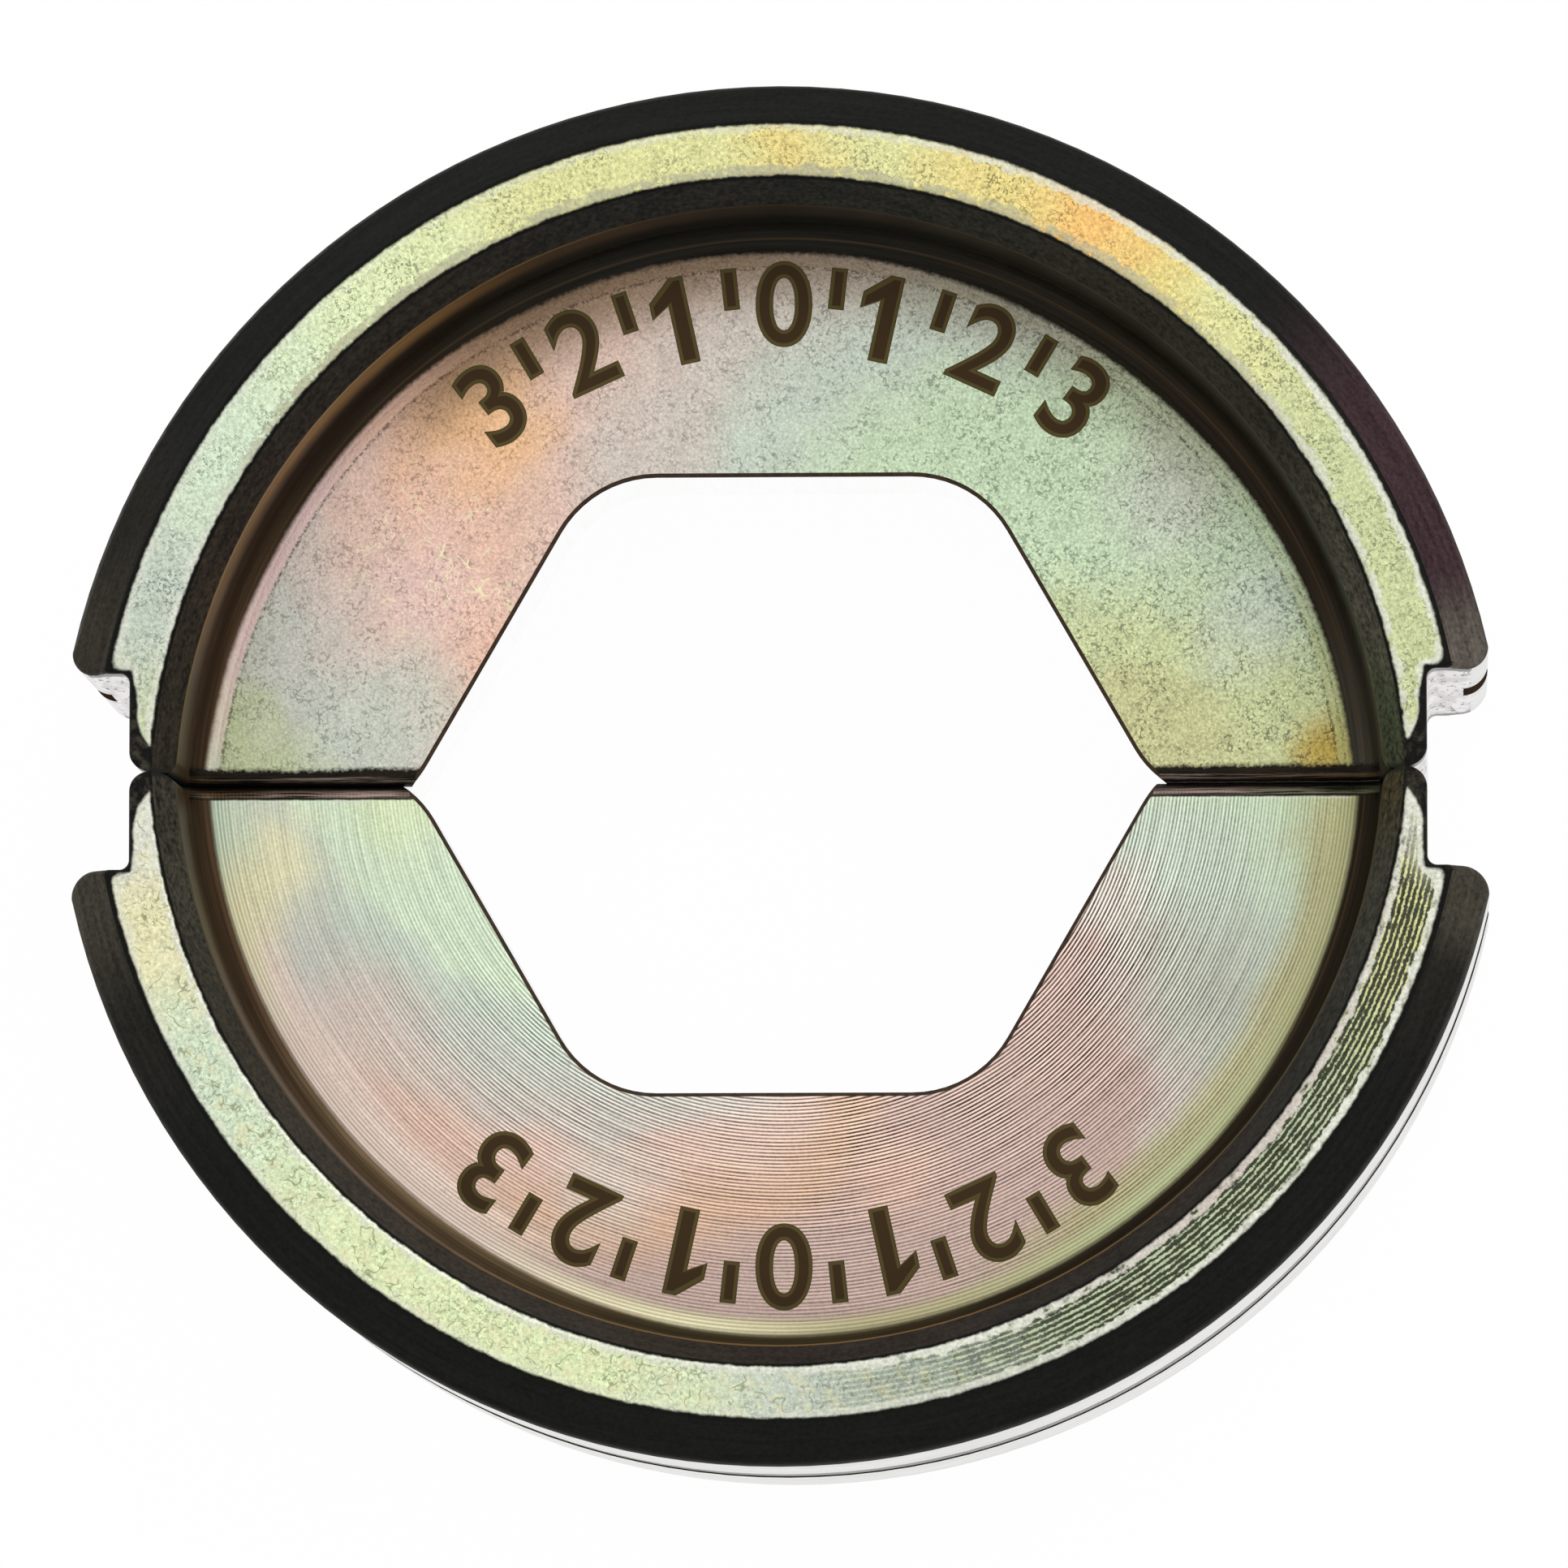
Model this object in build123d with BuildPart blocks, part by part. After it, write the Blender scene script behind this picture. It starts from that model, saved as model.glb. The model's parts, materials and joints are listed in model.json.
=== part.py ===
from build123d import *
from math import cos, radians, sin, sqrt, tan
import os

# A pair of hexagonal crimping dies for a hydraulic press head, closed on each other.
# Both halves are the same turned and milled piece, and the lower one is turned half round.
# X runs along the parting line, Y is the closing direction and Z is the crimp axis.
# The pair lies on its rear ledges at Z = 0, with the crimp axis through the origin.
# All sizes are in millimetres.

# Crimp opening: a hexagon, with its closed corners rounded and its mouth a little wider
across_corners = 22.0
mouth_allowance = 0.4
crimp_corner_radius = 3.4
crimp_width = 5.0
opening_break = 0.12

# Mouth of the opening, where each half flares on one side more than on the other
wide_flare = 0.38
wide_flare_length = 1.2
narrow_flare = 0.1
narrow_flare_length = 0.8

# Turned body, whose centre lies beyond the parting line, so each half is less than a semicircle
outer_radius = 22.2
die_thickness = 15.0
parting_offset = 1.0

# Rim: outer bevel, flat ledge, inner bevel and the wall down to the web
outer_bevel_width = 1.3
outer_bevel_depth = 1.4
ledge_width = 1.7
inner_bevel_width = 0.7
inner_bevel_depth = 1.4
wall_draft = 0.1
foot_round = 0.8
ledge_round = 0.25
outer_round = 0.5

# Retaining groove round the middle of the outer face
groove_width = 2.2
groove_depth = 0.9

# Notches that leave a tab at each end of a half, and a shoulder above it
notch_height = 3.0
tab_ledge = 0.6
notch_root_round = 0.3
shoulder_round = 0.8
tab_corner_round = 0.65

# Broken edges of the parting face and of the notches
parting_round = 0.45
notch_edge_round = 0.18

# How far a cutter runs past the piece that it cuts, and how near an edge counts as in a plane
overrun = 1.0
tolerance = 0.001

# Heights along the crimp axis
mid_plane = die_thickness / 2
web_front = mid_plane + crimp_width / 2
web_back = mid_plane - crimp_width / 2
groove_front = mid_plane + groove_width / 2

# Radii about the turning axis
ledge_outer_radius = outer_radius - outer_bevel_width
ledge_inner_radius = ledge_outer_radius - ledge_width
rim_radius = ledge_inner_radius - inner_bevel_width
foot_radius = rim_radius - wall_draft
groove_radius = outer_radius - groove_depth

# Places of the notches
tab_face = ledge_inner_radius + tab_ledge
shoulder_top = notch_height + shoulder_round
shoulder_reach = sqrt(outer_radius**2 - (shoulder_top + parting_offset) ** 2)

# Places of the opening's corners
flank_angle = radians(60)
root_height = across_corners * cos(radians(30)) / 2
mouth_half_width = across_corners / 2 + mouth_allowance
root_half_width = mouth_half_width - root_height / tan(flank_angle)


def nearest_corner(sketch, place):
    """The vertex of a sketch that lies nearest to a place."""
    return sketch.vertices().sort_by_distance(place)[0]


def flank_point(distance):
    """A point of the right flank, at a distance up from the parting line."""
    return (mouth_half_width - distance * cos(flank_angle), distance * sin(flank_angle))


def mirrored(point):
    """The same point on the left side."""
    return (-point[0], point[1])


def mouth_flare(start, end):
    """The edge of the opening from its flank out to the parting line, and on past it."""
    slope = (start[0] - root_half_width, start[1] - root_height)
    if start[0] < 0:
        slope = (start[0] + root_half_width, start[1] - root_height)
    TangentArc(start, end, tangent=slope)
    Line(end, (end[0], -overrun))


with BuildPart() as upper_half:
    # Half section of the turned body, mirrored from front to back
    foot = (foot_radius, web_front)
    ledge_inner_edge = (ledge_inner_radius, die_thickness)
    ledge_outer_edge = (ledge_outer_radius, die_thickness)
    bevel_foot = (outer_radius, die_thickness - outer_bevel_depth)
    with BuildSketch(Plane.XZ.offset(parting_offset)) as section:
        with BuildLine():
            Polyline(
                (0, mid_plane),
                (0, web_front),
                foot,
                (rim_radius, die_thickness - inner_bevel_depth),
                ledge_inner_edge,
                ledge_outer_edge,
                bevel_foot,
                (outer_radius, groove_front),
                (groove_radius, groove_front),
                (groove_radius, mid_plane),
                close=True,
            )
        make_face()
        fillet(nearest_corner(section, foot), foot_round)
        fillet(nearest_corner(section, ledge_inner_edge), ledge_round)
        fillet(nearest_corner(section, ledge_outer_edge), ledge_round)
        fillet(nearest_corner(section, bevel_foot), outer_round)
        mirror(about=Plane.XZ.offset(-mid_plane))
    revolve(axis=Axis((0, -parting_offset, 0), (0, 0, 1)), revolution_arc=180)
    split(bisect_by=Plane.XZ, keep=Keep.BOTTOM)

    # Half of the hexagonal opening, through the web
    right_flank = flank_point(wide_flare_length)
    left_flank = mirrored(flank_point(narrow_flare_length))
    right_mouth = (mouth_half_width + wide_flare, 0)
    left_mouth = (-mouth_half_width - narrow_flare, 0)
    with BuildSketch() as opening:
        with BuildLine():
            Polyline(left_flank, (-root_half_width, root_height), (root_half_width, root_height), right_flank)
            mouth_flare(right_flank, right_mouth)
            mouth_flare(left_flank, left_mouth)
            Line((right_mouth[0], -overrun), (left_mouth[0], -overrun))
        make_face()
        fillet(opening.vertices().group_by(Axis.Y)[-1], crimp_corner_radius)
    extrude(amount=die_thickness, mode=Mode.SUBTRACT)

    # Notch at each end, below a rounded shoulder
    notch_root = (tab_face, notch_height)
    with BuildSketch() as notch:
        with BuildLine():
            Polyline((tab_face, -overrun), notch_root, (shoulder_reach - shoulder_round, notch_height))
            TangentArc(
                (shoulder_reach - shoulder_round, notch_height),
                (shoulder_reach, shoulder_top),
                tangent=(1, 0),
            )
            Polyline(
                (shoulder_reach, shoulder_top),
                (outer_radius + overrun, shoulder_top),
                (outer_radius + overrun, -overrun),
                (tab_face, -overrun),
            )
        make_face()
        fillet(nearest_corner(notch, notch_root), notch_root_round)
        mirror(about=Plane.YZ)
    extrude(amount=die_thickness, mode=Mode.SUBTRACT)

    # Rounded outline of the parting face: it follows on from the edges of the web up to the ledges
    parting_edges = upper_half.edges().filter_by_position(Axis.Y, -tolerance, tolerance)
    fillet(parting_edges.filter_by(Axis.X).sort_by(SortBy.LENGTH)[-4:], parting_round)

    # Broken edges round the notches, front and back: each follows on from the side of a tab
    fillet(upper_half.edges().filter_by(Axis.Y), notch_edge_round)

    # Rounded outer corner of each tab
    with BuildSketch() as tab_corner:
        with BuildLine():
            TangentArc((tab_face - tab_corner_round, 0), (tab_face, tab_corner_round), tangent=(1, 0))
            Polyline(
                (tab_face, tab_corner_round),
                (tab_face + overrun, tab_corner_round),
                (tab_face + overrun, -overrun),
                (tab_face - tab_corner_round, -overrun),
                (tab_face - tab_corner_round, 0),
            )
        make_face()
        mirror(about=Plane.YZ)
    extrude(amount=die_thickness, mode=Mode.SUBTRACT)

    # Broken edge of the opening on both faces of the web
    for web_face, outward in ((web_front, 1), (web_back, -1)):
        with BuildSketch(Plane.XY.offset(web_face - outward * opening_break)):
            add(opening.sketch)
        extrude(amount=outward * 2 * opening_break, taper=-45, mode=Mode.SUBTRACT)

with BuildPart() as lower_half:
    add(upper_half.part, rotation=(0, 0, 180))

upper_half.part.label = "upper_half"
lower_half.part.label = "lower_half"

os.makedirs("parts", exist_ok=True)
export_step(upper_half.part, "parts/upper_half.step")
export_step(lower_half.part, "parts/lower_half.step")
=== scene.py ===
import json
from math import cos, pi, radians, sin

import bpy
from mathutils import Matrix, Vector

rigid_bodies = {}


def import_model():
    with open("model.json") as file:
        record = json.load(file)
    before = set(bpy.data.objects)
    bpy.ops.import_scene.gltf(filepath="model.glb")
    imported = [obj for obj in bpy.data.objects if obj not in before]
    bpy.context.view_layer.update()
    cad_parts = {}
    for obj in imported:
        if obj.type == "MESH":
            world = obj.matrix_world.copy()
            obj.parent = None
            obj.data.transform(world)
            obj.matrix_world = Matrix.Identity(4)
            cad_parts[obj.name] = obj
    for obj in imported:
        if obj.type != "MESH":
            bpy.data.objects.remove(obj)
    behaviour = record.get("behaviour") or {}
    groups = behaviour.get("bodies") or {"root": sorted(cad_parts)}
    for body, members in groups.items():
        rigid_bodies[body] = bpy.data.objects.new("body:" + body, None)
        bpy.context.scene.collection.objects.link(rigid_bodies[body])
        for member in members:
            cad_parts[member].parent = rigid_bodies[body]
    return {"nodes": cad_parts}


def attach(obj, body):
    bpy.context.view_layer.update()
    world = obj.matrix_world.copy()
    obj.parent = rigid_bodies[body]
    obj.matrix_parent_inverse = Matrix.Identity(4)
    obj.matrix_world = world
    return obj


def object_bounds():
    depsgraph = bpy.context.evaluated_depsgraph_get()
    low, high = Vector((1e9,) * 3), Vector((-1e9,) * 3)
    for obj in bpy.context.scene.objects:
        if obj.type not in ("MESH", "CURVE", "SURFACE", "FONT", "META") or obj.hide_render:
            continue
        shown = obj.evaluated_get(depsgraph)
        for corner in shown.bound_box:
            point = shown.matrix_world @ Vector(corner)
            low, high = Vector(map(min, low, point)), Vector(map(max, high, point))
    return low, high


# Looks of a closed pair of hexagonal crimping dies: the finish of every surface, a plain numbered
# scale on both webs, the floor, the light and the camera. Everything is in metres, in the frame
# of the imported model. Materials and the scale work in millimetres.

# What Blender puts in an empty scene would count in the object's box
for leftover in list(bpy.data.objects):
    bpy.data.objects.remove(leftover)

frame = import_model()
cad_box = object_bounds()

MM = 0.001

# Sizes of the part that the materials and the scale need, in millimetres. Heights are above the
# web: the foot round ends at FOOT_TOP, the wall at WALL_TOP, and the outer bevel starts at BEVEL_FOOT.
THICKNESS = (cad_box[1].z - cad_box[0].z) / MM
MID_PLANE = THICKNESS / 2
WEB_HALF = 2.5
WEB_FRONT = MID_PLANE + WEB_HALF
TURNING_OFFSET = 1.0
OUTER_RADIUS = 22.2
LEDGE_OUTER_RADIUS = 20.9
LEDGE_INNER_RADIUS = 19.2
FOOT_RADIUS = 18.4
FOOT_TOP = 0.75
WEB_RADIUS = 17.6
WEB_MIDDLE_RADIUS = 14.5
LEDGE_HEIGHT = 5.0
LEDGE_ROUND_DEPTH = 0.15
WALL_TOP = 3.6
BEVEL_FOOT = 3.4
GROOVE_FLOOR_RADIUS = 21.3
GROOVE_HALF = 1.1
PARTING_ROUND = 0.45
NOTCH_HEIGHT = 3.0
NOTCH_TOP = 3.8
TAB_FACE = 19.8

# The two halves: which way each lies from the parting line
HALVES = {"upper_half": 1, "lower_half": -1}

# How far the noise of one call lies from that of the call before it, and of one half from the other
SEED_STEP = 7.3
HALF_SEED = 100.0

# How far apart the turning rings of the lower web and the torn marks on its ledge lie, in millimetres
RING_PITCH = 0.110
TORN_PITCH = 0.17

# How round the outline of the film is at the corner of a tab, in millimetres
TAB_CORNER = 1.8

# Tints of the chromate film, as linear colours; some of them also make painted highlights and painted shade
ORANGE = (0.80, 0.48, 0.23)
PEACH = (0.77, 0.50, 0.38)
PINK = (0.69, 0.50, 0.42)
PALE_PINK = (0.78, 0.64, 0.55)
BLUSH = (0.80, 0.58, 0.54)
SALMON = (0.64, 0.43, 0.31)
ROSE = (0.53, 0.39, 0.34)
LILAC = (0.59, 0.53, 0.47)
GREY = (0.54, 0.54, 0.48)
GREY_MINT = (0.53, 0.59, 0.50)
SLATE = (0.42, 0.42, 0.35)
MINT = (0.52, 0.64, 0.44)
PALE_MINT = (0.61, 0.72, 0.54)
PALE_GREEN = (0.70, 0.78, 0.47)
GREEN = (0.55, 0.60, 0.33)
YELLOW_GREEN = (0.52, 0.55, 0.24)
KHAKI = (0.53, 0.53, 0.28)
DULL_GREEN = (0.50, 0.54, 0.33)
SAND = (0.48, 0.45, 0.24)
PALE_STRAW = (0.76, 0.72, 0.45)
STRAW = (0.68, 0.68, 0.33)
YELLOW = (0.74, 0.62, 0.24)
AMBER = (0.84, 0.52, 0.18)
OCHRE = (0.52, 0.36, 0.06)
TAN = (0.22, 0.14, 0.07)
WHITISH = (0.69, 0.70, 0.60)
DULL_WHITE = (0.44, 0.43, 0.29)
SAGE = (0.24, 0.27, 0.14)
PALE_CUT = (0.48, 0.55, 0.35)
YELLOW_CUT = (0.64, 0.64, 0.28)
DARK_CUT = (0.020, 0.025, 0.010)

# Dark tints, mostly painted dark reflection and shade on the tilted faces, which mirror dark surroundings;
# the browns and bronzes also make painted highlights, and a few of these tints colour pits and specks
BLACK = (0.007, 0.007, 0.006)
SOOT = (0.013, 0.012, 0.009)
UMBER = (0.020, 0.014, 0.008)
BROWN = (0.045, 0.026, 0.013)
CHESTNUT = (0.085, 0.058, 0.030)
BRONZE = (0.200, 0.112, 0.036)
PALE_BRONZE = (0.300, 0.190, 0.090)
DIM_BROWN = (0.032, 0.027, 0.019)
DARK_OLIVE = (0.050, 0.038, 0.017)
OLIVE = (0.120, 0.100, 0.040)
DARK_GREEN = (0.036, 0.046, 0.022)
PLUM = (0.042, 0.022, 0.026)
GREY_BROWN = (0.050, 0.044, 0.032)
PALE_BROWN = (0.095, 0.082, 0.068)
EDGE_BROWN = (0.045, 0.030, 0.020)
EDGE_TAN = (0.075, 0.048, 0.030)

# Tints of bare steel: drawn, turned and milled, each a darker and a brighter one, and the bright brink
# of the groove
DRAWN = ((0.95, 0.95, 0.94), (0.99, 0.99, 0.99))
TURNED = ((0.48, 0.47, 0.45), (0.78, 0.77, 0.75))
MILLED = ((0.72, 0.66, 0.67), (0.94, 0.93, 0.93))
BRINK = (0.85, 0.85, 0.84)

# How the film runs round each half, from its left end (0) to its right end (1), as stops of tints
# or numbers. Spots are stains at x and at a distance from the parting line, with their size, tint
# and strength. web_drift shifts the bands of the web with the radius, and the rim tint comes in
# between the two radii of rim; on the upper half it is painted shade along the foot of the wall. The
# foot is the round between the web and the wall: it takes a painted highlight over foot_soft and
# painted shade over foot_fade, both measured in from the radius foot_edge, which moves round the
# half with the light. The wall, the bevels, the dark edges of the ledge and the parting edge are
# painted dark reflection and shade, with painted highlights. The painted highlight line at the top
# of the wall reaches wall_line_reach above it.
UPPER = {
    "web": [(0.0, DULL_GREEN), (0.07, GREY), (0.13, LILAC), (0.18, PINK), (0.26, PEACH), (0.34, PINK),
            (0.44, LILAC), (0.56, GREY_MINT), (0.68, MINT), (0.80, MINT), (0.92, GREEN), (1.0, KHAKI)],
    "web_drift": [(0.0, -0.022), (1.0, -0.021)],
    "spots": [(-9.4, 11.3, 3.4, ORANGE, 0.75), (-10.8, 6.0, 3.2, BLUSH, 0.45),
              (-13.4, 7.0, 2.6, PINK, 0.45), (-13.6, 1.2, 3.0, GREY_MINT, 0.45),
              (-11.8, 2.2, 3.2, GREY_MINT, 0.65), (11.9, 9.0, 3.0, GREY, 0.60),
              (14.3, 5.2, 2.8, GREY_MINT, 0.75), (16.9, 0.9, 1.8, OCHRE, 0.85)],
    "rim_film_and_shade": [(0.0, PALE_PINK), (0.20, TAN), (0.80, TAN), (1.0, YELLOW_GREEN)],
    "rim": (15.0, 17.1),
    "rim_share": [(0.0, 0.0), (0.22, 0.0), (0.30, 0.75), (0.45, 0.75), (0.60, 0.50), (0.74, 0.35),
                  (0.85, 0.0)],
    "foot": [(0.0, PALE_MINT), (0.06, PALE_PINK), (0.11, BLUSH), (0.19, BLUSH), (0.26, PEACH),
             (0.36, TAN), (0.62, TAN), (0.80, GREEN), (0.92, YELLOW_GREEN), (1.0, YELLOW_GREEN)],
    "foot_share": [(0.0, 0.8), (0.22, 0.9), (0.32, 0.4), (0.60, 0.3), (0.75, 0.1), (0.90, 0.4),
                   (1.0, 0.6)],
    "foot_edge": [(0.0, 17.95), (0.08, 17.85), (0.16, 17.75), (0.26, 17.75), (0.38, 17.60),
                  (0.50, 17.48), (0.70, 17.33), (0.90, 17.52), (1.0, 17.56)],
    "foot_ragged": [(0.0, 0.06), (0.2, 0.10), (0.35, 0.22), (1.0, 0.18)],
    "foot_soft": (0.36, 0.46),
    "foot_fade": (-0.08, 0.12),
    "deep_shade": [(0.0, BROWN), (0.10, BROWN), (0.25, UMBER), (0.45, SOOT), (0.85, UMBER), (1.0, GREY_BROWN)],
    "parting": [(0.0, TAN), (0.12, ROSE), (0.25, SAGE), (0.45, GREY), (0.8, ROSE), (1.0, TAN)],
    "wall": [(0.0, BROWN), (0.06, CHESTNUT), (0.13, BRONZE), (0.28, BRONZE), (0.39, BROWN),
             (0.50, UMBER), (0.80, SOOT), (1.0, SOOT)],
    "wall_highlight": [(0.0, CHESTNUT), (0.08, BRONZE), (0.15, PALE_BRONZE), (0.24, PALE_BRONZE),
                  (0.34, BRONZE), (0.46, BROWN), (0.80, GREY_BROWN), (1.0, OLIVE)],
    "wall_line_reach": 0.02,
    "inner_bevel": [(0.0, UMBER), (0.10, UMBER), (0.25, SOOT), (0.50, SOOT), (0.78, UMBER),
                    (0.90, GREY_BROWN), (0.96, DARK_GREEN), (1.0, DARK_GREEN)],
    "ledge": [(0.0, GREEN), (0.10, GREY_MINT), (0.18, PALE_MINT), (0.28, PALE_GREEN), (0.38, STRAW),
              (0.46, STRAW), (0.50, YELLOW), (0.55, STRAW), (0.61, YELLOW), (0.655, AMBER),
              (0.70, YELLOW), (0.74, STRAW), (0.82, GREEN), (0.94, GREEN), (1.0, KHAKI)],
    "ledge_pits": 1.2,
    "inner_border": [(0.0, 0.7), (0.12, 0.7), (0.25, 0.8), (0.50, 0.8), (0.70, 0.7), (0.90, 0.8),
                     (1.0, 0.8)],
    "inner_width": [(0.0, 0.28), (0.15, 0.28), (0.25, 0.36), (0.70, 0.36), (1.0, 0.28)],
    "outer_border": [(0.0, 0.6), (0.15, 0.5), (0.30, 0.3), (0.50, 0.5), (0.62, 0.7), (0.75, 0.9),
                     (1.0, 0.9)],
    "border_sheen_tint": [(0.0, WHITISH), (0.12, WHITISH), (0.22, DULL_WHITE), (0.72, DULL_WHITE),
                    (0.85, WHITISH)],
    "tab_round": 0.15,
    "bevel": [(0.0, DIM_BROWN), (0.07, DIM_BROWN), (0.14, SOOT), (0.20, BLACK), (0.74, BLACK),
              (0.82, PLUM), (0.89, PLUM), (0.93, PALE_BROWN), (1.0, PALE_BROWN)],
}
LOWER = {
    "web": [(0.0, PALE_MINT), (0.05, PALE_MINT), (0.11, GREY_MINT), (0.20, GREY), (0.27, LILAC),
            (0.34, PINK), (0.46, SALMON), (0.56, ROSE), (0.73, ROSE), (0.79, LILAC), (0.86, GREY_MINT),
            (1.0, MINT)],
    "web_drift": [(0.0, 0.050), (0.40, 0.050), (0.70, 0.015), (1.0, 0.012)],
    "spots": [(-15.9, 2.6, 2.8, PALE_STRAW, 0.8), (-11.9, 0.8, 2.4, PALE_GREEN, 0.6),
              (-13.2, 7.4, 3.0, PINK, 0.45), (-11.2, 10.4, 2.4, PEACH, 0.45),
              (17.2, 1.8, 2.6, SAND, 0.7), (12.9, 6.4, 4.2, SLATE, 0.75),
              (9.6, 7.2, 2.6, ROSE, 0.4), (-5.5, 12.2, 2.4, GREY, 0.5),
              (3.4, 12.0, 2.2, PEACH, 0.5)],
    "rim_film_and_shade": [(0.0, PALE_MINT), (0.04, PALE_MINT), (0.08, PALE_STRAW), (0.14, PALE_PINK),
                 (0.30, PALE_PINK), (0.55, SAND), (0.90, SAND), (1.0, KHAKI)],
    "rim": (16.0, 17.1),
    "rim_share": [(0.0, 0.5), (0.10, 0.9), (0.28, 0.9), (0.42, 0.0), (0.58, 0.0), (0.70, 0.9),
                  (1.0, 0.9)],
    "foot": [(0.0, PALE_MINT), (0.05, PALE_MINT), (0.09, PALE_STRAW), (0.18, PALE_PINK),
             (0.30, PALE_PINK), (0.45, PALE_STRAW), (0.55, SAND), (0.72, GREEN), (0.88, KHAKI),
             (1.0, KHAKI)],
    "foot_share": [(0.0, 0.8), (0.35, 0.9), (1.0, 0.8)],
    "foot_edge": [(0.0, 17.75), (0.10, 17.78), (0.25, 17.80), (0.50, 18.02), (0.75, 17.90),
                  (0.90, 17.75), (1.0, 17.70)],
    "foot_ragged": [(0.0, 0.04), (1.0, 0.04)],
    "foot_soft": (0.25, 0.70),
    "foot_fade": (-0.10, 0.14),
    "deep_shade": [(0.0, BROWN), (0.12, BROWN), (0.25, CHESTNUT), (0.50, DARK_OLIVE), (0.70, UMBER),
             (1.0, UMBER)],
    "parting": [(0.0, TAN), (0.12, PINK), (0.30, LILAC), (0.45, GREY), (0.7, PINK), (0.85, ROSE),
                (1.0, SAGE)],
    "wall": [(0.0, BROWN), (0.12, BROWN), (0.25, BROWN), (0.55, BROWN), (0.75, UMBER), (1.0, SOOT)],
    "wall_highlight": [(0.0, GREY_BROWN), (0.12, CHESTNUT), (0.25, CHESTNUT), (0.38, BRONZE),
                  (0.65, BRONZE), (0.80, CHESTNUT), (1.0, BROWN)],
    "wall_line_reach": 0.10,
    "inner_bevel": [(0.0, DIM_BROWN), (0.08, DIM_BROWN), (0.16, UMBER), (0.50, SOOT), (0.80, SOOT),
                    (0.93, DIM_BROWN), (0.97, DARK_OLIVE), (1.0, DARK_OLIVE)],
    "ledge": [(0.0, WHITISH), (0.05, WHITISH), (0.10, PALE_STRAW), (0.16, PALE_MINT),
              (0.30, PALE_GREEN), (0.42, PALE_GREEN), (0.50, GREY_MINT), (0.60, GREY_MINT),
              (1.0, WHITISH)],
    "ledge_pits": 0.8,
    "inner_border": [(0.0, 0.6), (0.15, 0.8), (0.45, 0.8), (0.60, 1.0), (1.0, 1.0)],
    "inner_width": [(0.0, 0.25), (0.45, 0.26), (0.58, 0.32), (1.0, 0.28)],
    "outer_border": [(0.0, 0.5), (0.45, 0.3), (0.56, 0.7), (0.70, 1.0), (1.0, 1.0)],
    "border_sheen_tint": [(0.0, WHITISH), (0.60, WHITISH), (0.75, LILAC), (1.0, WHITISH)],
    "tab_round": 0.04,
    "bevel": [(0.0, GREY_BROWN), (0.07, GREY_BROWN), (0.14, SOOT), (0.20, BLACK), (0.82, BLACK),
              (0.89, SOOT), (0.92, GREY_BROWN), (1.0, GREY_BROWN)],
}

LOOKS = {1: UPPER, -1: LOWER}

# How deep the grain and how dense the pits of the upper web are, from its left end to its right end
GRAIN_DEPTH = [(0.0, 1.2), (0.5, 1.4), (0.8, 2.0), (1.0, 2.0)]
PITS_SHARE = [(0.0, 0.7), (0.4, 0.6), (0.6, 0.8), (1.0, 1.0)]

# How strong the turning rings of the lower web are, and how far turning marks cover its ledge
RING_DEPTH = [(0.0, 0.25), (0.16, 0.45), (0.28, 1.2), (0.46, 1.3), (0.60, 1.8), (0.80, 1.9), (0.90, 1.1),
              (1.0, 0.7)]
WORKED_LEDGE = [(0.49, 0.0), (0.56, 0.35), (0.66, 0.95), (0.93, 0.95), (0.98, 0.0)]


class Number:
    """The value of a shader socket, with arithmetic that adds Math nodes."""

    def __init__(self, tree, socket):
        self.tree = tree
        self.socket = socket

    def math(self, operation, *others):
        node = self.tree.nodes.new("ShaderNodeMath")
        node.operation = operation
        for slot, value in zip(node.inputs, (self, *others)):
            plug(self.tree, value, slot)
        return Number(self.tree, node.outputs[0])

    def __add__(self, other):
        return self.math("ADD", other)

    def __sub__(self, other):
        return self.math("SUBTRACT", other)

    def __rsub__(self, other):
        return self.math("MULTIPLY", -1.0).math("ADD", other)

    def __mul__(self, other):
        return self.math("MULTIPLY", other)

    def __truediv__(self, other):
        return self.math("DIVIDE", other)

    def __abs__(self):
        return self.math("ABSOLUTE")

    def rise(self, low, high):
        """A mask that goes smoothly from 0 at low to 1 at high."""
        node = self.tree.nodes.new("ShaderNodeMapRange")
        node.interpolation_type = "SMOOTHSTEP"
        plug(self.tree, self, node.inputs["Value"])
        node.inputs["From Min"].default_value = low
        node.inputs["From Max"].default_value = high
        return Number(self.tree, node.outputs["Result"])

    def fall(self, low, high):
        """A mask that goes smoothly from 1 at low to 0 at high."""
        return 1.0 - self.rise(low, high)

    def band(self, low, high, soft):
        """A mask that is 1 between low and high, with soft edges."""
        return self.rise(low - soft, low + soft) * self.fall(high - soft, high + soft)

    def wave(self, pitch):
        """Ridges from 0 to 1 that repeat every pitch."""
        return (self * (2 * pi / pitch)).math("SINE") * 0.5 + 0.5


def plug(tree, value, slot):
    """Gives a node's input a constant, a number, a colour or a link."""
    if isinstance(value, Number):
        tree.links.new(value.socket, slot)
    elif isinstance(value, bpy.types.NodeSocket):
        tree.links.new(value, slot)
    elif isinstance(value, tuple):
        slot.default_value = (*value, 1.0) if len(slot.default_value) == 4 else value
    else:
        slot.default_value = value


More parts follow.
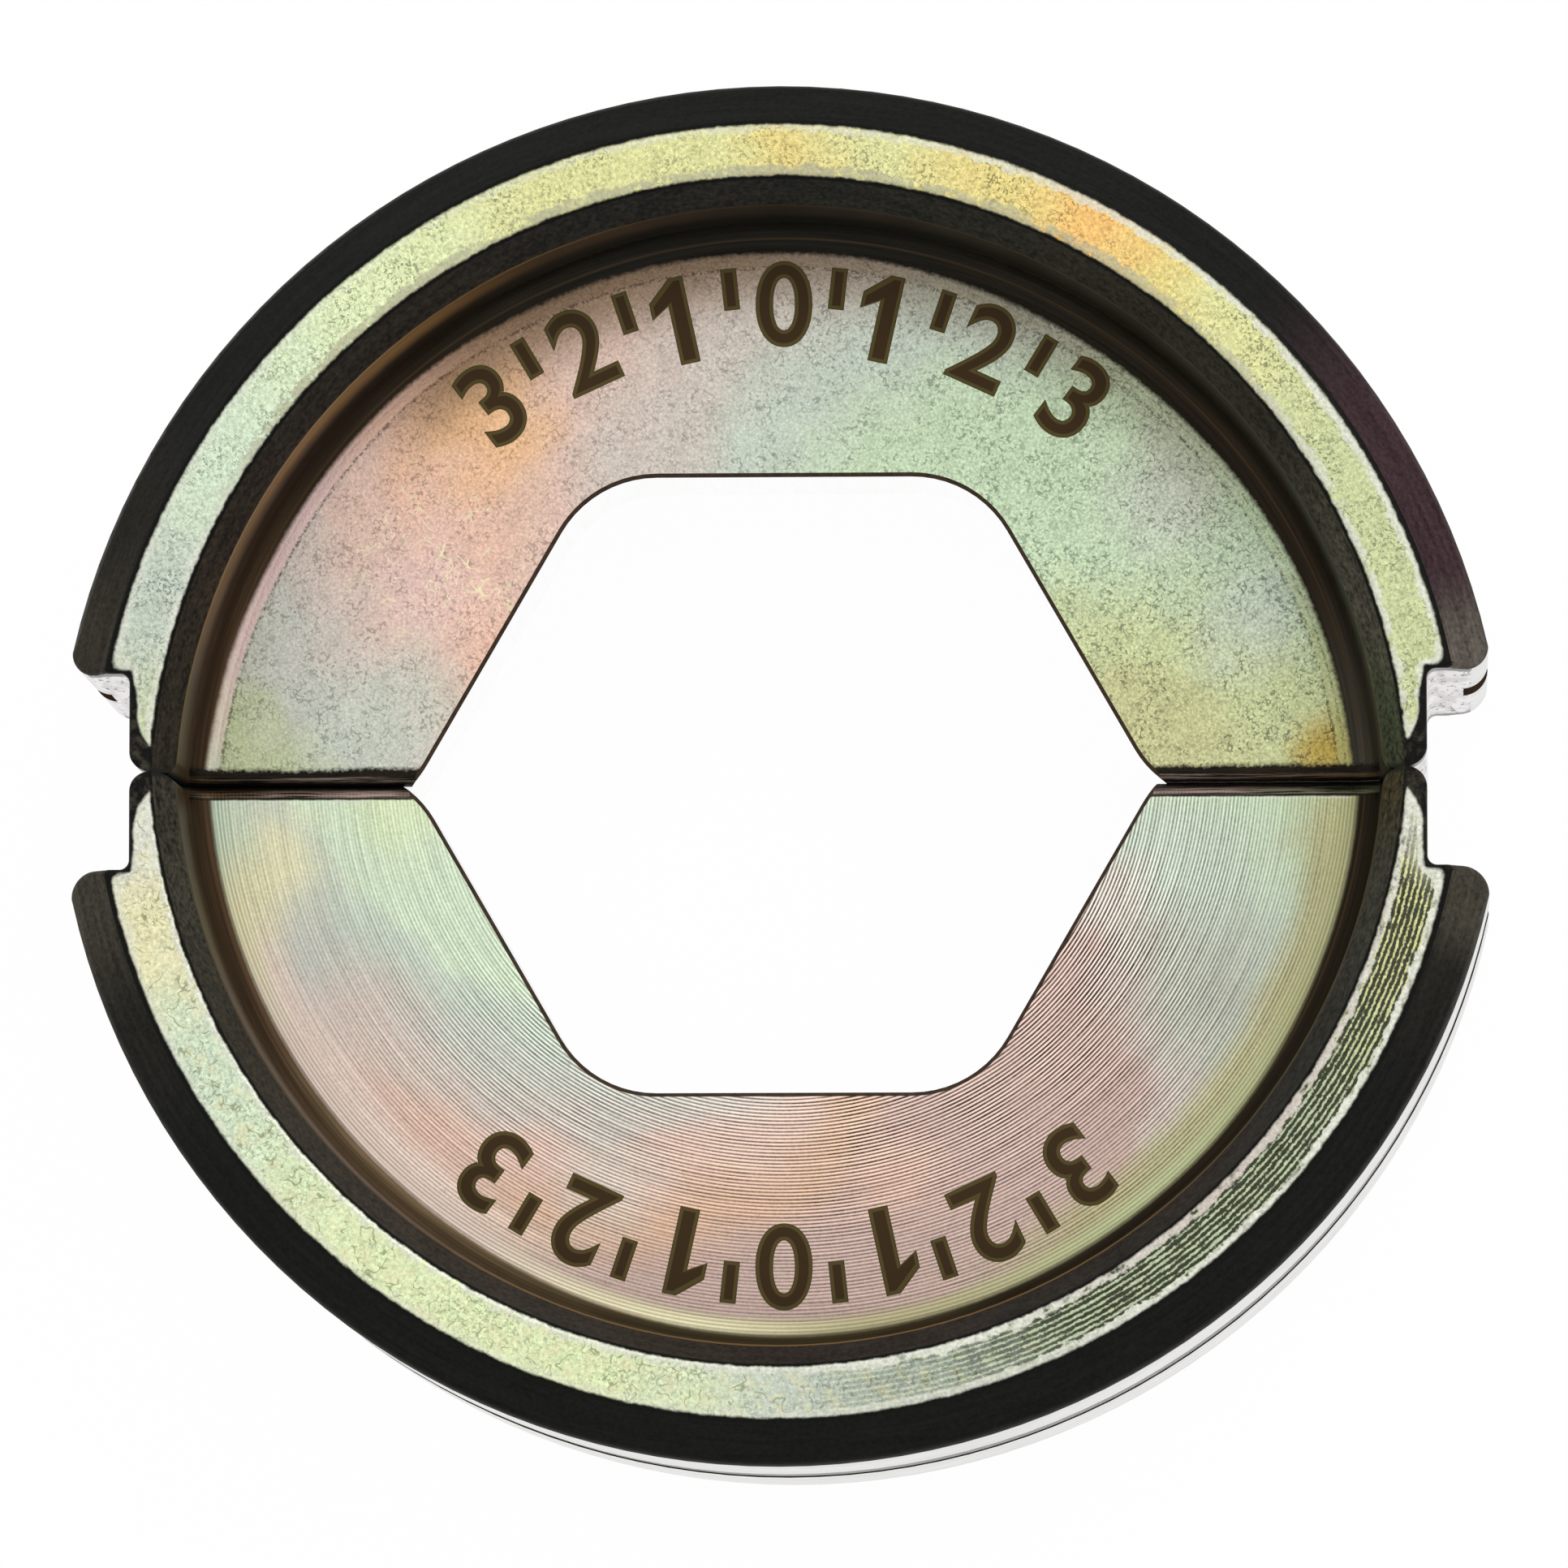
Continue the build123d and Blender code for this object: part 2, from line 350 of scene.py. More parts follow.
class Surface:
    """A material under construction, with the place on the part as numbers in millimetres."""

    def __init__(self, name, side):
        self.material = bpy.data.materials.new(name)
        self.material.use_nodes = True
        self.tree = self.material.node_tree
        self.bsdf = self.tree.nodes["Principled BSDF"]
        self.side = side
        self.look = LOOKS[side]
        self.seed = HALF_SEED * (side < 0)
        coordinates = self.tree.nodes.new("ShaderNodeTexCoord")
        scale = self.tree.nodes.new("ShaderNodeVectorMath")
        scale.operation = "SCALE"
        scale.inputs["Scale"].default_value = 1 / MM
        self.tree.links.new(coordinates.outputs["Object"], scale.inputs[0])
        self.place = scale.outputs[0]
        self.x, self.y, self.z = self.parts(self.place)
        self.off_parting = self.y * side
        reach = self.off_parting + TURNING_OFFSET
        self.radius = (self.x * self.x + reach * reach).math("SQRT")
        self.along = 1.0 - reach.math("ARCTAN2", self.x) / pi
        self.height = abs(self.z - MID_PLANE) - WEB_HALF

    def parts(self, vector):
        """The three numbers of a vector."""
        node = self.tree.nodes.new("ShaderNodeSeparateXYZ")
        self.tree.links.new(vector, node.inputs[0])
        return [Number(self.tree, output) for output in node.outputs]

    def vector(self, x, y, z):
        """The vector of three numbers."""
        node = self.tree.nodes.new("ShaderNodeCombineXYZ")
        for slot, value in zip(node.inputs, (x, y, z)):
            plug(self.tree, value, slot)
        return node.outputs[0]

    def noise(self, size, detail=2.0, roughness=0.5, place=None):
        """Noise from 0 to 1 whose blotches are about size millimetres, different at each call."""
        self.seed += SEED_STEP
        node = self.tree.nodes.new("ShaderNodeTexNoise")
        node.noise_dimensions = "4D"
        self.tree.links.new(place or self.place, node.inputs["Vector"])
        node.inputs["W"].default_value = self.seed
        node.inputs["Scale"].default_value = 1 / size
        node.inputs["Detail"].default_value = detail
        node.inputs["Roughness"].default_value = roughness
        return Number(self.tree, node.outputs["Fac"])

    def swirl(self, across, around):
        """Noise drawn out round the turning axis: across and around are its sizes in millimetres."""
        length = self.along * (pi * WEB_RADIUS / around)
        return self.noise(1.0, place=self.vector(self.radius / across, length, self.height))

    def ramp(self, value, stops):
        """A colour that follows value through stops of (place, tint)."""
        node = self.tree.nodes.new("ShaderNodeValToRGB")
        node.color_ramp.interpolation = "EASE"
        plug(self.tree, value, node.inputs[0])
        elements = node.color_ramp.elements
        while len(elements) < len(stops):
            elements.new(1.0)
        for element, (place, tint) in zip(elements, stops):
            element.position = place
            element.color = (*tint, 1.0)
        return node.outputs["Color"]

    def profile(self, value, stops):
        """A number that follows value through stops of (place, number)."""
        low = min(number for place, number in stops)
        span = max(number for place, number in stops) - low or 1.0
        greys = [(place, ((number - low) / span,) * 3) for place, number in stops]
        grey = self.parts(self.ramp(value, greys))[0]
        return grey * span + low

    def round_half(self, key):
        """The tint or the number that a list of stops in the look gives round this half."""
        stops = self.look[key]
        follow = self.ramp if isinstance(stops[0][1], tuple) else self.profile
        return follow(self.along, stops)

    def mix(self, mask, below, above):
        """The colour above laid over the colour below where the mask is 1."""
        node = self.tree.nodes.new("ShaderNodeMix")
        node.data_type = "RGBA"
        slots = {slot.identifier: slot for slot in node.inputs}
        plug(self.tree, mask, slots["Factor_Float"])
        plug(self.tree, below, slots["A_Color"])
        plug(self.tree, above, slots["B_Color"])
        return node.outputs[2]

    def shade(self, colour, factor):
        """A colour made lighter or darker by a number round 1."""
        node = self.tree.nodes.new("ShaderNodeVectorMath")
        node.operation = "SCALE"
        plug(self.tree, colour, node.inputs[0])
        plug(self.tree, factor.math("MAXIMUM", 0.0), node.inputs["Scale"])
        return node.outputs[0]

    def speckle(self, size, depth):
        """A factor round 1 that makes a colour grainy."""
        return (self.noise(size, 3.0, 0.65) - 0.5) * depth + 1.0

    def worms(self, size, width):
        """Short crooked pits or cracks: 1 on one of them and 0 beside it."""
        line = abs(self.noise(size, 1.5) - 0.5).fall(width * 0.4, width)
        return line * self.noise(size * 0.9, 1.0).rise(0.47, 0.56)

    def spot(self, x, out, size):
        """A soft stain round a place of this half: 1 in its middle, 0 from size millimetres on."""
        across = self.x - x
        away = self.off_parting - out
        reach = (across * across + away * away).math("SQRT") + (self.noise(1.6) - 0.5) * (size * 0.9)
        return reach.fall(size * 0.1, size)

    def inside_flat(self):
        """How far inside the outline of the ledge's flat a place lies, round its notch and its tab."""
        beside = (TAB_FACE - abs(self.x)).math("MAXIMUM", 0.0)
        above = (self.off_parting - NOTCH_HEIGHT).math("MAXIMUM", 0.0)
        from_notch = (beside * beside + above * above).math("SQRT")
        rim = (LEDGE_OUTER_RADIUS - self.radius).math("SMOOTH_MIN", from_notch, 0.7)
        near_tab = self.off_parting.fall(NOTCH_HEIGHT - 0.6, NOTCH_HEIGHT)
        return rim + (self.inside_tab() - rim) * near_tab

    def inside_tab(self):
        """How far inside the rounded outline of a tab a place lies, in millimetres."""
        across = (abs(self.x) - (TAB_FACE - TAB_CORNER)).math("MAXIMUM", 0.0)
        down = (TAB_CORNER - self.off_parting).math("MAXIMUM", 0.0)
        return TAB_CORNER - (across * across + down * down).math("SQRT")

    def finish(self, colour, roughness, relief=None, metallic=0.7, gloss=0.5):
        """Gives the shader its colour, roughness and relief, and returns the material."""
        plug(self.tree, colour, self.bsdf.inputs["Base Color"])
        plug(self.tree, roughness, self.bsdf.inputs["Roughness"])
        self.bsdf.inputs["Metallic"].default_value = metallic
        self.bsdf.inputs["Specular IOR Level"].default_value = gloss
        if relief is not None:
            bump = self.tree.nodes.new("ShaderNodeBump")
            bump.inputs["Distance"].default_value = MM
            plug(self.tree, relief, bump.inputs["Height"])
            self.tree.links.new(bump.outputs[0], self.bsdf.inputs["Normal"])
        return self.material


def web_film(surface, drift):
    """The tint of a web: bands round the half, stains, and another tint towards the rim, which is film
    colour on the lower half and painted shade along the foot of the wall on the upper half.
    """
    outward = surface.radius - WEB_MIDDLE_RADIUS
    film = surface.along + drift + outward * surface.round_half("web_drift")
    web = surface.ramp(film, surface.look["web"])
    for x, out, size, tint, strength in surface.look["spots"]:
        web = surface.mix(surface.spot(x, out, size) * strength, web, tint)
    # Towards the rim: film tints, and on the upper half a tan painted shade along the foot of the wall
    rim = (surface.radius + drift * 5.0).rise(*surface.look["rim"])
    return surface.mix(rim * surface.round_half("rim_share"), web, surface.round_half("rim_film_and_shade"))


def blasted_web(surface, web):
    """The colour and the relief of the upper web: grainy, with crooked pits and a few scuffs."""
    grain = surface.noise(0.09, 3.0, 0.65)
    depth = surface.profile(surface.along, GRAIN_DEPTH)
    face = surface.shade(web, (grain - 0.5) * depth + (surface.noise(0.9, 3.0) - 0.5) * 0.30 + 1.05)
    pits = surface.worms(0.17, 0.07) * surface.noise(0.9, 3.0).rise(0.30, 0.60)
    pits = pits * surface.profile(surface.along, PITS_SHARE)
    face = surface.mix(pits, face, surface.shade(web, surface.speckle(0.4, 0.4) * 0.42))
    scuffs = surface.worms(0.5, 0.022) * surface.spot(-10.5, 7.2, 4.2)
    face = surface.mix(scuffs, face, surface.shade(PALE_STRAW, surface.speckle(0.3, 0.6) * 1.15))
    return face, grain * 0.015


def turned_web(surface, web, drift):
    """The colour and the relief of the lower web, and its turning rings from -0.5 to 0.5."""
    scratches = surface.swirl(0.07, 5.0)
    fresh = surface.profile(surface.along + drift, RING_DEPTH) * surface.speckle(1.6, 1.4)
    fresh = fresh * (surface.radius.fall(12.0, 17.0) * 0.5 + 0.5)
    rings = (surface.radius + (scratches - 0.5) * 0.04).wave(RING_PITCH) - 0.5
    light = (scratches - 0.5) * 0.7 + rings * fresh + surface.speckle(0.09, 0.8) + 0.02
    face = surface.shade(web, light)
    stains = surface.noise(0.22, 3.0, 0.6).fall(0.27, 0.33)
    face = surface.mix(stains * 0.30, face, TAN)
    return face, scratches * 0.006 + rings * 0.003, rings


def foot_round(surface, face, lit_foot, wander):
    """Lays the round at the foot over a web: smooth and clean, with a painted highlight where it catches the
    light and painted shade where it turns up the wall.
    """
    look = surface.look
    # foot_edge moves round the half with the light: the painted highlight on the round reaches further out
    # where the round faces the light
    reach = surface.radius + wander * surface.round_half("foot_ragged")
    inward = surface.round_half("foot_edge") - reach
    lit_foot = surface.shade(lit_foot, surface.speckle(0.10, 0.4) * (inward.rise(0.0, 0.40) * 0.22 + 0.78))
    face = surface.mix(inward.fall(*look["foot_soft"]) * surface.round_half("foot_share"), face, lit_foot)
    if surface.side > 0:
        specks = surface.noise(0.08, 2.0, 0.6).fall(0.42, 0.56)
        rows = inward.band(0.40, 0.50, 0.04) + inward.band(0.16, 0.21, 0.03) * surface.along.rise(0.55, 0.75)
        face = surface.mix(rows * specks * 0.7, face, BROWN)
    # painted shade where the round turns up the wall, with a faint painted glint line on it
    deep_shade = surface.round_half("deep_shade")
    deep_shade = surface.shade(deep_shade, (surface.swirl(0.10, 4.0) - 0.5) * 1.6 + 1.0)
    ring_glint = surface.radius.band(17.90, 17.96, 0.02)
    deep_shade = surface.mix(ring_glint * 0.12, deep_shade, BRONZE)
    return surface.mix(inward.fall(*look["foot_fade"]), face, deep_shade)


def parting_bands(surface, face):
    """Lays the bands of the rounded parting edge over a web: painted shade, with thin painted highlights in
    film colours, and on the lower web a pale painted highlight.
    """
    wander = surface.noise(0.35, 3.0, 0.6) - 0.5
    out = surface.off_parting + wander * 0.06
    across = surface.x * (0.5 / WEB_RADIUS) + 0.5 + (surface.noise(2.0) - 0.5) * 0.3
    drawn = surface.vector(surface.x * 0.5, surface.off_parting * 22.0, 0.0)
    streaks = surface.noise(1.0, 3.0, 0.6, place=drawn)
    # painted shade on the rounded parting edge
    dark_shade = surface.ramp(streaks, [(0.4, BLACK), (0.6, UMBER)])
    dark_shade = surface.shade(dark_shade, surface.speckle(0.1, 1.5))
    # film tints for the thin painted highlights on the parting edge
    film = surface.ramp(across, surface.look["parting"])
    if surface.side > 0:
        top = out + (surface.noise(1.2) - 0.5) * 0.22 + (surface.noise(0.12, 3.0, 0.7) - 0.5) * 0.30
        face = surface.mix(top.fall(0.44, 0.62), face, dark_shade)
        face = surface.mix(out.band(0.12, 0.26, 0.04) * streaks.rise(0.40, 0.60) * 0.45, face, film)
        # a thin lilac painted highlight right at the seam
        line = out.band(0.015, 0.045, 0.012) * across.rise(0.45, 0.60)
        return surface.mix(line * 0.45, face, LILAC)
    # a pale painted highlight along the top of the lower web
    pale = out.band(0.45, 0.52, 0.02) * surface.radius.fall(17.3, 17.7)
    face = surface.mix(pale * surface.noise(1.5).rise(0.35, 0.6) * 0.75, face, WHITISH)
    face = surface.mix(out.fall(0.41, 0.47), face, dark_shade)
    return surface.mix(out.band(0.14, 0.36, 0.05) * streaks.rise(0.38, 0.58) * 0.50, face, film)


def web_finish(name, side):
    """The web and the round at its foot: blasted above, finely turned below."""
    surface = Surface(name, side)
    drift = (surface.noise(4.0, 3.0) - 0.5) * 0.22
    web = web_film(surface, drift)
    # The round at the foot: film tints brightened as a painted highlight, dimmed to tan as painted shade at
    # the top of the upper half
    lit_foot = surface.ramp(surface.along + drift * 0.3, surface.look["foot"])
    wander = surface.noise(0.20, 3.0, 0.65) - 0.5
    if side > 0:
        face, relief = blasted_web(surface, web)
    else:
        face, relief, rings = turned_web(surface, web, drift)
        lit_foot = surface.shade(lit_foot, rings * 0.45 + 1.0)
    face = foot_round(surface, face, lit_foot, wander)
    face = parting_bands(surface, face)
    return surface.finish(face, surface.noise(1.5) * 0.15 + 0.36, relief, gloss=0.15)


def wall_finish(name, side):
    """The wall round the web and the bevel above it: painted dark reflection and shade, with a painted
    bronze highlight, a painted highlight line between them and painted shade in the parting seam.
    """
    surface = Surface(name, side)
    # painted dark reflection on the wall, with painted shade low down and a painted bronze highlight on the
    # left of the upper half
    wall = surface.mix(surface.height.rise(1.2, 3.0), surface.round_half("deep_shade"), surface.round_half("wall"))
    wall = surface.shade(wall, (surface.swirl(0.5, 6.0) - 0.5) * 1.4 + 1.0)
    # the inner bevel: painted dark reflection
    bevel = surface.speckle(0.16, 6.0) + (surface.swirl(0.15, 2.5) - 0.5) * 2.0
    bevel = surface.shade(surface.round_half("inner_bevel"), bevel)
    colour = surface.mix(surface.height.rise(WALL_TOP - 0.02, WALL_TOP + 0.02), wall, bevel)
    # painted highlight line along the rounded edge at the top of the wall
    line = surface.height.band(WALL_TOP - 0.16, WALL_TOP + surface.look["wall_line_reach"], 0.03)
    colour = surface.mix(line * 0.85, colour, surface.round_half("wall_highlight"))
    # painted shade in the seam at the parting line
    colour = surface.mix(surface.off_parting.fall(0.06, 0.20), colour, BLACK)
    return surface.finish(colour, 0.45, metallic=0.0, gloss=0.10)


def worn_film(surface, face):
    """Lays straw stains and thin cracks over the film of the lower ledge."""
    stains = surface.noise(0.45, 3.0, 0.6).rise(0.50, 0.62)
    face = surface.mix(stains * 0.45, face, surface.shade(PALE_STRAW, surface.speckle(0.12, 1.2)))
    return surface.mix(surface.worms(0.50, 0.022) * 0.7, face, SAGE)


def torn_lines(surface, face, drift):
    """Lays torn turning marks over the right half of the lower ledge."""
    torn = (surface.noise(0.24, 3.0, 0.7) - 0.5) * 0.16
    lines = (surface.radius + torn).wave(TORN_PITCH) + (surface.noise(0.10, 2.0, 0.6) - 0.5) * 1.8
    lines = lines + (surface.swirl(0.16, 0.5) - 0.5) * 1.6 + (surface.noise(0.8) - 0.5) * 0.8
    pale = surface.ramp(surface.along + drift * 0.05, [(0.80, PALE_CUT), (0.90, YELLOW_CUT)])
    cut = surface.mix(lines.rise(0.40, 1.00), DARK_CUT, surface.shade(pale, surface.speckle(0.2, 1.4)))
    return surface.mix(surface.profile(surface.along + drift * 0.10, WORKED_LEDGE), face, cut)


def pale_borders(surface, face, edge, wander):
    """Lays the pale borders over a ledge, a painted highlight along its rounded edges; edge is how far a
    place lies inside its outline.
    """
    # painted highlight along the rounded inner and outer edges of the ledge
    border = wander * 0.50 + (surface.noise(0.8) - 0.5) * 0.30 + 0.08
    inner = surface.radius - LEDGE_INNER_RADIUS + border - surface.round_half("inner_width")
    patchy = surface.noise(0.5, 3.0, 0.6).rise(0.34, 0.50)
    pale = inner.fall(0.0, 0.10) * patchy * surface.round_half("inner_border")
    sheen = surface.shade(surface.round_half("border_sheen_tint"), surface.speckle(0.12, 1.3))
    face = surface.mix(pale, face, sheen)
    outer = edge + border
    pale = outer.fall(0.36, 0.44) * (patchy * 0.5 + 0.5) * surface.round_half("outer_border")
    return surface.mix(pale, face, surface.shade(WHITISH, surface.speckle(0.12, 1.3)))


def dark_edges(surface, face, edge, wander):
    """Lays painted shade on the rounded edges of a ledge, with painted brown glints on its tabs."""
    # painted shade on the rounded edges of the ledge, with painted glints on the tabs
    inner_dark = (surface.radius - LEDGE_INNER_RADIUS + wander * 0.16).fall(0.0, 0.09)
    rounded = surface.off_parting.fall(2.2, 3.0) * surface.look["tab_round"]
    dark_shade = (inner_dark + (edge + wander * 0.14 - rounded).fall(0.06, 0.17)).math("MINIMUM", 1.0)
    glints = surface.noise(0.35, 3.0, 0.6).rise(0.45, 0.70) * surface.off_parting.fall(1.5, 2.5)
    tint = surface.mix(glints, BLACK, GREY_BROWN)
    return surface.mix(dark_shade, face, surface.shade(tint, surface.speckle(0.10, 2.0)))


def ledge_finish(name, side):
    """The flat ledge, pitted, with pale borders of painted highlight and dark rounded edges of painted
    shade.
    """
    surface = Surface(name, side)
    drift = surface.noise(2.0, 2.0) - 0.5
    film = surface.ramp(surface.along + drift * 0.08, surface.look["ledge"])
    mottles = surface.noise(0.7, 2.0).rise(0.55, 0.75)
    film = surface.mix(mottles * 0.5, film, surface.shade(film, surface.speckle(0.3, 1.5)))
    grain = surface.noise(0.12, 3.0, 0.7)
    face = surface.shade(film, (grain - 0.5) * 1.5 + 1.03)
    pits = surface.shade(film, surface.speckle(0.6, 0.6) * 0.42)
    pitted = surface.noise(1.4, 3.0).rise(0.25, 0.75) * surface.look["ledge_pits"]
    face = surface.mix(surface.worms(0.13, 0.09) * pitted, face, pits)
    wander = surface.noise(0.28, 3.0, 0.6) - 0.5
    if side < 0:
        face = worn_film(surface, face)
        face = torn_lines(surface, face, drift)
    edge = surface.inside_flat()
    face = pale_borders(surface, face, edge, wander)
    face = dark_edges(surface, face, edge, wander)
    return surface.finish(face, surface.noise(1.5) * 0.15 + 0.38, grain * 0.02, gloss=0.15)


def bevel_finish(name, side):
    """The outer bevel: near black, a painted dark reflection, with a painted glint along its outer edge."""
    surface = Surface(name, side)
    streaks = (surface.swirl(0.12, 3.0) - 0.5) * 1.6
    colour = surface.shade(surface.round_half("bevel"), surface.speckle(0.14, 2.4) + streaks)
    # painted glint along the outer edge of the bevel
    rim = surface.radius.rise(OUTER_RADIUS - 0.10, OUTER_RADIUS - 0.02)
    colour = surface.mix(rim * 0.6, colour, GREY_BROWN)
    return surface.finish(colour, 0.5, metallic=0.0, gloss=0.05)


def edge_finish(name, side):
    """The broken edge of the opening, dark brown: a painted dark reflection on the tilted chamfer."""
    surface = Surface(name, side)
    colour = surface.ramp(surface.noise(0.2), [(0.3, EDGE_TAN), (0.7, EDGE_BROWN)])
    return surface.finish(colour, 0.5, metallic=0.3, gloss=0.1)


def crimp_finish(name, side):
    """The crimping faces and the parting faces: bright steel, drawn along the crimp axis."""
    surface = Surface(name, side)
    drawn = surface.vector(surface.x / 0.15, surface.y / 0.15, surface.z * 0.3)
    streaks = surface.noise(1.0, 3.0, 0.6, place=drawn)
    colour = surface.ramp(streaks, [(0.3, DRAWN[0]), (0.7, DRAWN[1])])
    return surface.finish(colour, 0.08, streaks * 0.001, metallic=1.0)


def outside_finish(name, side):
    """The outer round: bright steel with fine turning marks."""
    surface = Surface(name, side)
    turned = surface.vector(surface.along * 3.0, surface.height, surface.z / 0.14)
    lines = surface.noise(1.0, 3.0, 0.65, place=turned) + (surface.noise(3.0, 3.0) - 0.5) * 0.3
    colour = surface.ramp(lines, [(0.3, TURNED[0]), (0.7, TURNED[1])])
    return surface.finish(colour, surface.noise(1.5) * 0.10 + 0.14, lines * 0.004, metallic=1.0)


def notch_finish(name, side):
    """The milled faces of the notches: bright steel with brown pits and a brown brink."""
    surface = Surface(name, side)
    milled = surface.vector(surface.x, surface.y, surface.z * 0.3)
    tones = surface.noise(0.5, 3.0, place=milled)
    colour = surface.ramp(tones, [(0.35, MILLED[0]), (0.60, MILLED[1])])
    pits = surface.noise(0.16, 3.0, 0.6, place=milled).fall(0.36, 0.43)
    colour = surface.mix(pits * 0.85, colour, BROWN)
    bevel = (surface.radius - LEDGE_OUTER_RADIUS).math("MAXIMUM", 0.0)
    depth = MID_PLANE - abs(surface.z - MID_PLANE) - bevel
    ragged = (surface.noise(0.3, 3.0, place=milled) - 0.5) * 0.8
    colour = surface.mix((depth + ragged).fall(0.80, 1.05) * 0.85, colour, BROWN)
    return surface.finish(colour, surface.noise(1.0) * 0.1 + 0.30, metallic=0.9)


def groove_finish(name, side):
    """The retaining groove: dark inside, which is painted shade in the recess, and bright at its brink."""
    surface = Surface(name, side)
    # painted shade inside the groove
    colour = surface.ramp(surface.noise(0.8), [(0.3, BROWN), (0.7, SOOT)])
    brink = surface.radius.band(OUTER_RADIUS - 0.22, OUTER_RADIUS - 0.05, 0.01)
    brink = brink * surface.off_parting.rise(NOTCH_TOP + 0.5, NOTCH_TOP + 2.0)
    colour = surface.mix(brink, colour, BRINK)
    return surface.finish(colour, 0.5, metallic=0.0, gloss=0.1)


FINISHES = {
    "web": web_finish,
    "wall": wall_finish,
    "ledge": ledge_finish,
    "bevel": bevel_finish,
    "edge": edge_finish,
    "crimp": crimp_finish,
    "outside": outside_finish,
    "notch": notch_finish,
    "groove": groove_finish,
}


# How much of a facet's normal points along an axis, where one finish gives way to another
FACING = 0.95
STEEP = 0.3
SIDEWAYS = 0.2
UPRIGHT = 0.02

# How far above the web a facet of the opening may lie by rounding, in millimetres
SLACK = 0.001


def zone_of(centre, normal, side):
    """Which finish a facet takes, from its centre in millimetres and its normal."""
    off_parting = centre.y * side
    radius = Vector((centre.x, off_parting + TURNING_OFFSET)).length
    height = abs(centre.z - MID_PLANE) - WEB_HALF
    tilt = abs(normal.z)
    if radius < WEB_RADIUS and height < SLACK and tilt < FACING:
        if off_parting < PARTING_ROUND and abs(normal.x) < SIDEWAYS:
            return "web" if tilt > UPRIGHT else "crimp"
        return "crimp" if tilt < STEEP else "edge"
    steep_rim = radius > LEDGE_INNER_RADIUS and tilt < STEEP
    faces_notch = abs(normal.y) > FACING or radius < GROOVE_FLOOR_RADIUS - 0.2
    if steep_rim and off_parting < NOTCH_TOP and faces_notch:
        return "notch"
    if radius > GROOVE_FLOOR_RADIUS - 0.1 and abs(centre.z - MID_PLANE) < GROOVE_HALF + 0.01:
        return "groove"
    if steep_rim and height < BEVEL_FOOT:
        return "outside"
    if radius < FOOT_RADIUS - 0.02 and height < FOOT_TOP:
        return "web"
    if radius < LEDGE_INNER_RADIUS - 0.05 and height < LEDGE_HEIGHT - LEDGE_ROUND_DEPTH:
        return "wall"
    if height > LEDGE_HEIGHT - LEDGE_ROUND_DEPTH:
        return "ledge"
    return "bevel"


def dress(node, side):
    """Gives a half its finishes, facet by facet."""
    mesh = node.data
    mesh.materials.clear()
    places = {}
    for zone, maker in FINISHES.items():
        places[zone] = len(mesh.materials)
        mesh.materials.append(maker(f"{node.name}_{zone}", side))
    for facet in mesh.polygons:
        facet.material_index = places[zone_of(facet.center / MM, facet.normal, side)]


for half, side in HALVES.items():
    dress(frame["nodes"][half], side)


# A plain scale on each web: digits either side of a nought, with ticks between them. Each mark is
# laid down in three layers: a name, how much wider its strokes are, its height and its tint.
DIGITS = "3210123"
DIGIT_STEP = radians(12.4)
DIGIT_RADIUS = 14.75
DIGIT_SIZE = 3.55
TICK_WIDTH = 0.30
TICK_INNER = 14.9
TICK_OUTER = 16.0
MARK_LAYERS = [
    ("outline", 0.100, 0.003, (0.075, 0.055, 0.030)),
    ("band", 0.075, 0.005, (0.105, 0.080, 0.026)),
    ("middle", -0.020, 0.007, (0.055, 0.033, 0.015)),
]


def mark_finish(name, tint):
    """Flat etched marking in one tone."""
    material = bpy.data.materials.new(name)
    material.use_nodes = True
    bsdf = material.node_tree.nodes["Principled BSDF"]
    bsdf.inputs["Base Color"].default_value = (*tint, 1.0)
    bsdf.inputs["Roughness"].default_value = 0.6
    bsdf.inputs["Specular IOR Level"].default_value = 0.05
    return material


def digit_outline(digit, thickening):
    """The flat shape of one digit in millimetres, with its strokes made wider."""
    data = bpy.data.curves.new("digit", "FONT")
    data.body = digit
    data.size = DIGIT_SIZE
    data.align_x = "CENTER"
    data.align_y = "CENTER"
    data.offset = thickening
    holder = bpy.data.objects.new("digit", data)
    bpy.context.scene.collection.objects.link(holder)
    graph = bpy.context.evaluated_depsgraph_get()
    shape = bpy.data.meshes.new_from_object(holder.evaluated_get(graph))
    bpy.data.objects.remove(holder)
    return [tuple(vertex.co) for vertex in shape.vertices], [tuple(face.vertices) for face in shape.polygons]


def one_outline(thickening):
    """The flat shape of a figure one with a flag, as high as the font's digits."""
    half_width = 0.21
    half_height = 1.27
    flag_reach = 0.78
    flag_slant = 0.18
    flag_top = half_height - 0.66
    flag_bottom = half_height - 1.00
    left = -half_width - thickening
    right = half_width + thickening
    bottom = -half_height - thickening
    top = half_height + thickening
    tip = -flag_reach - thickening
    corners = [(left, bottom, 0), (right, bottom, 0), (right, top, 0), (left + flag_slant, top, 0),
               (tip, flag_top + thickening, 0), (tip, flag_bottom - thickening, 0),
               (left, flag_top - thickening, 0)]
    return corners, [tuple(range(len(corners)))]


def tick_outline(thickening):
    """A short radial bar, with its place measured from where a digit's middle lies."""
    half_width = TICK_WIDTH / 2 + thickening
    low = TICK_INNER - DIGIT_RADIUS - thickening
    high = TICK_OUTER - DIGIT_RADIUS + thickening
    corners = [(-half_width, low, 0), (half_width, low, 0), (half_width, high, 0), (-half_width, high, 0)]
    return corners, [(0, 1, 2, 3)]


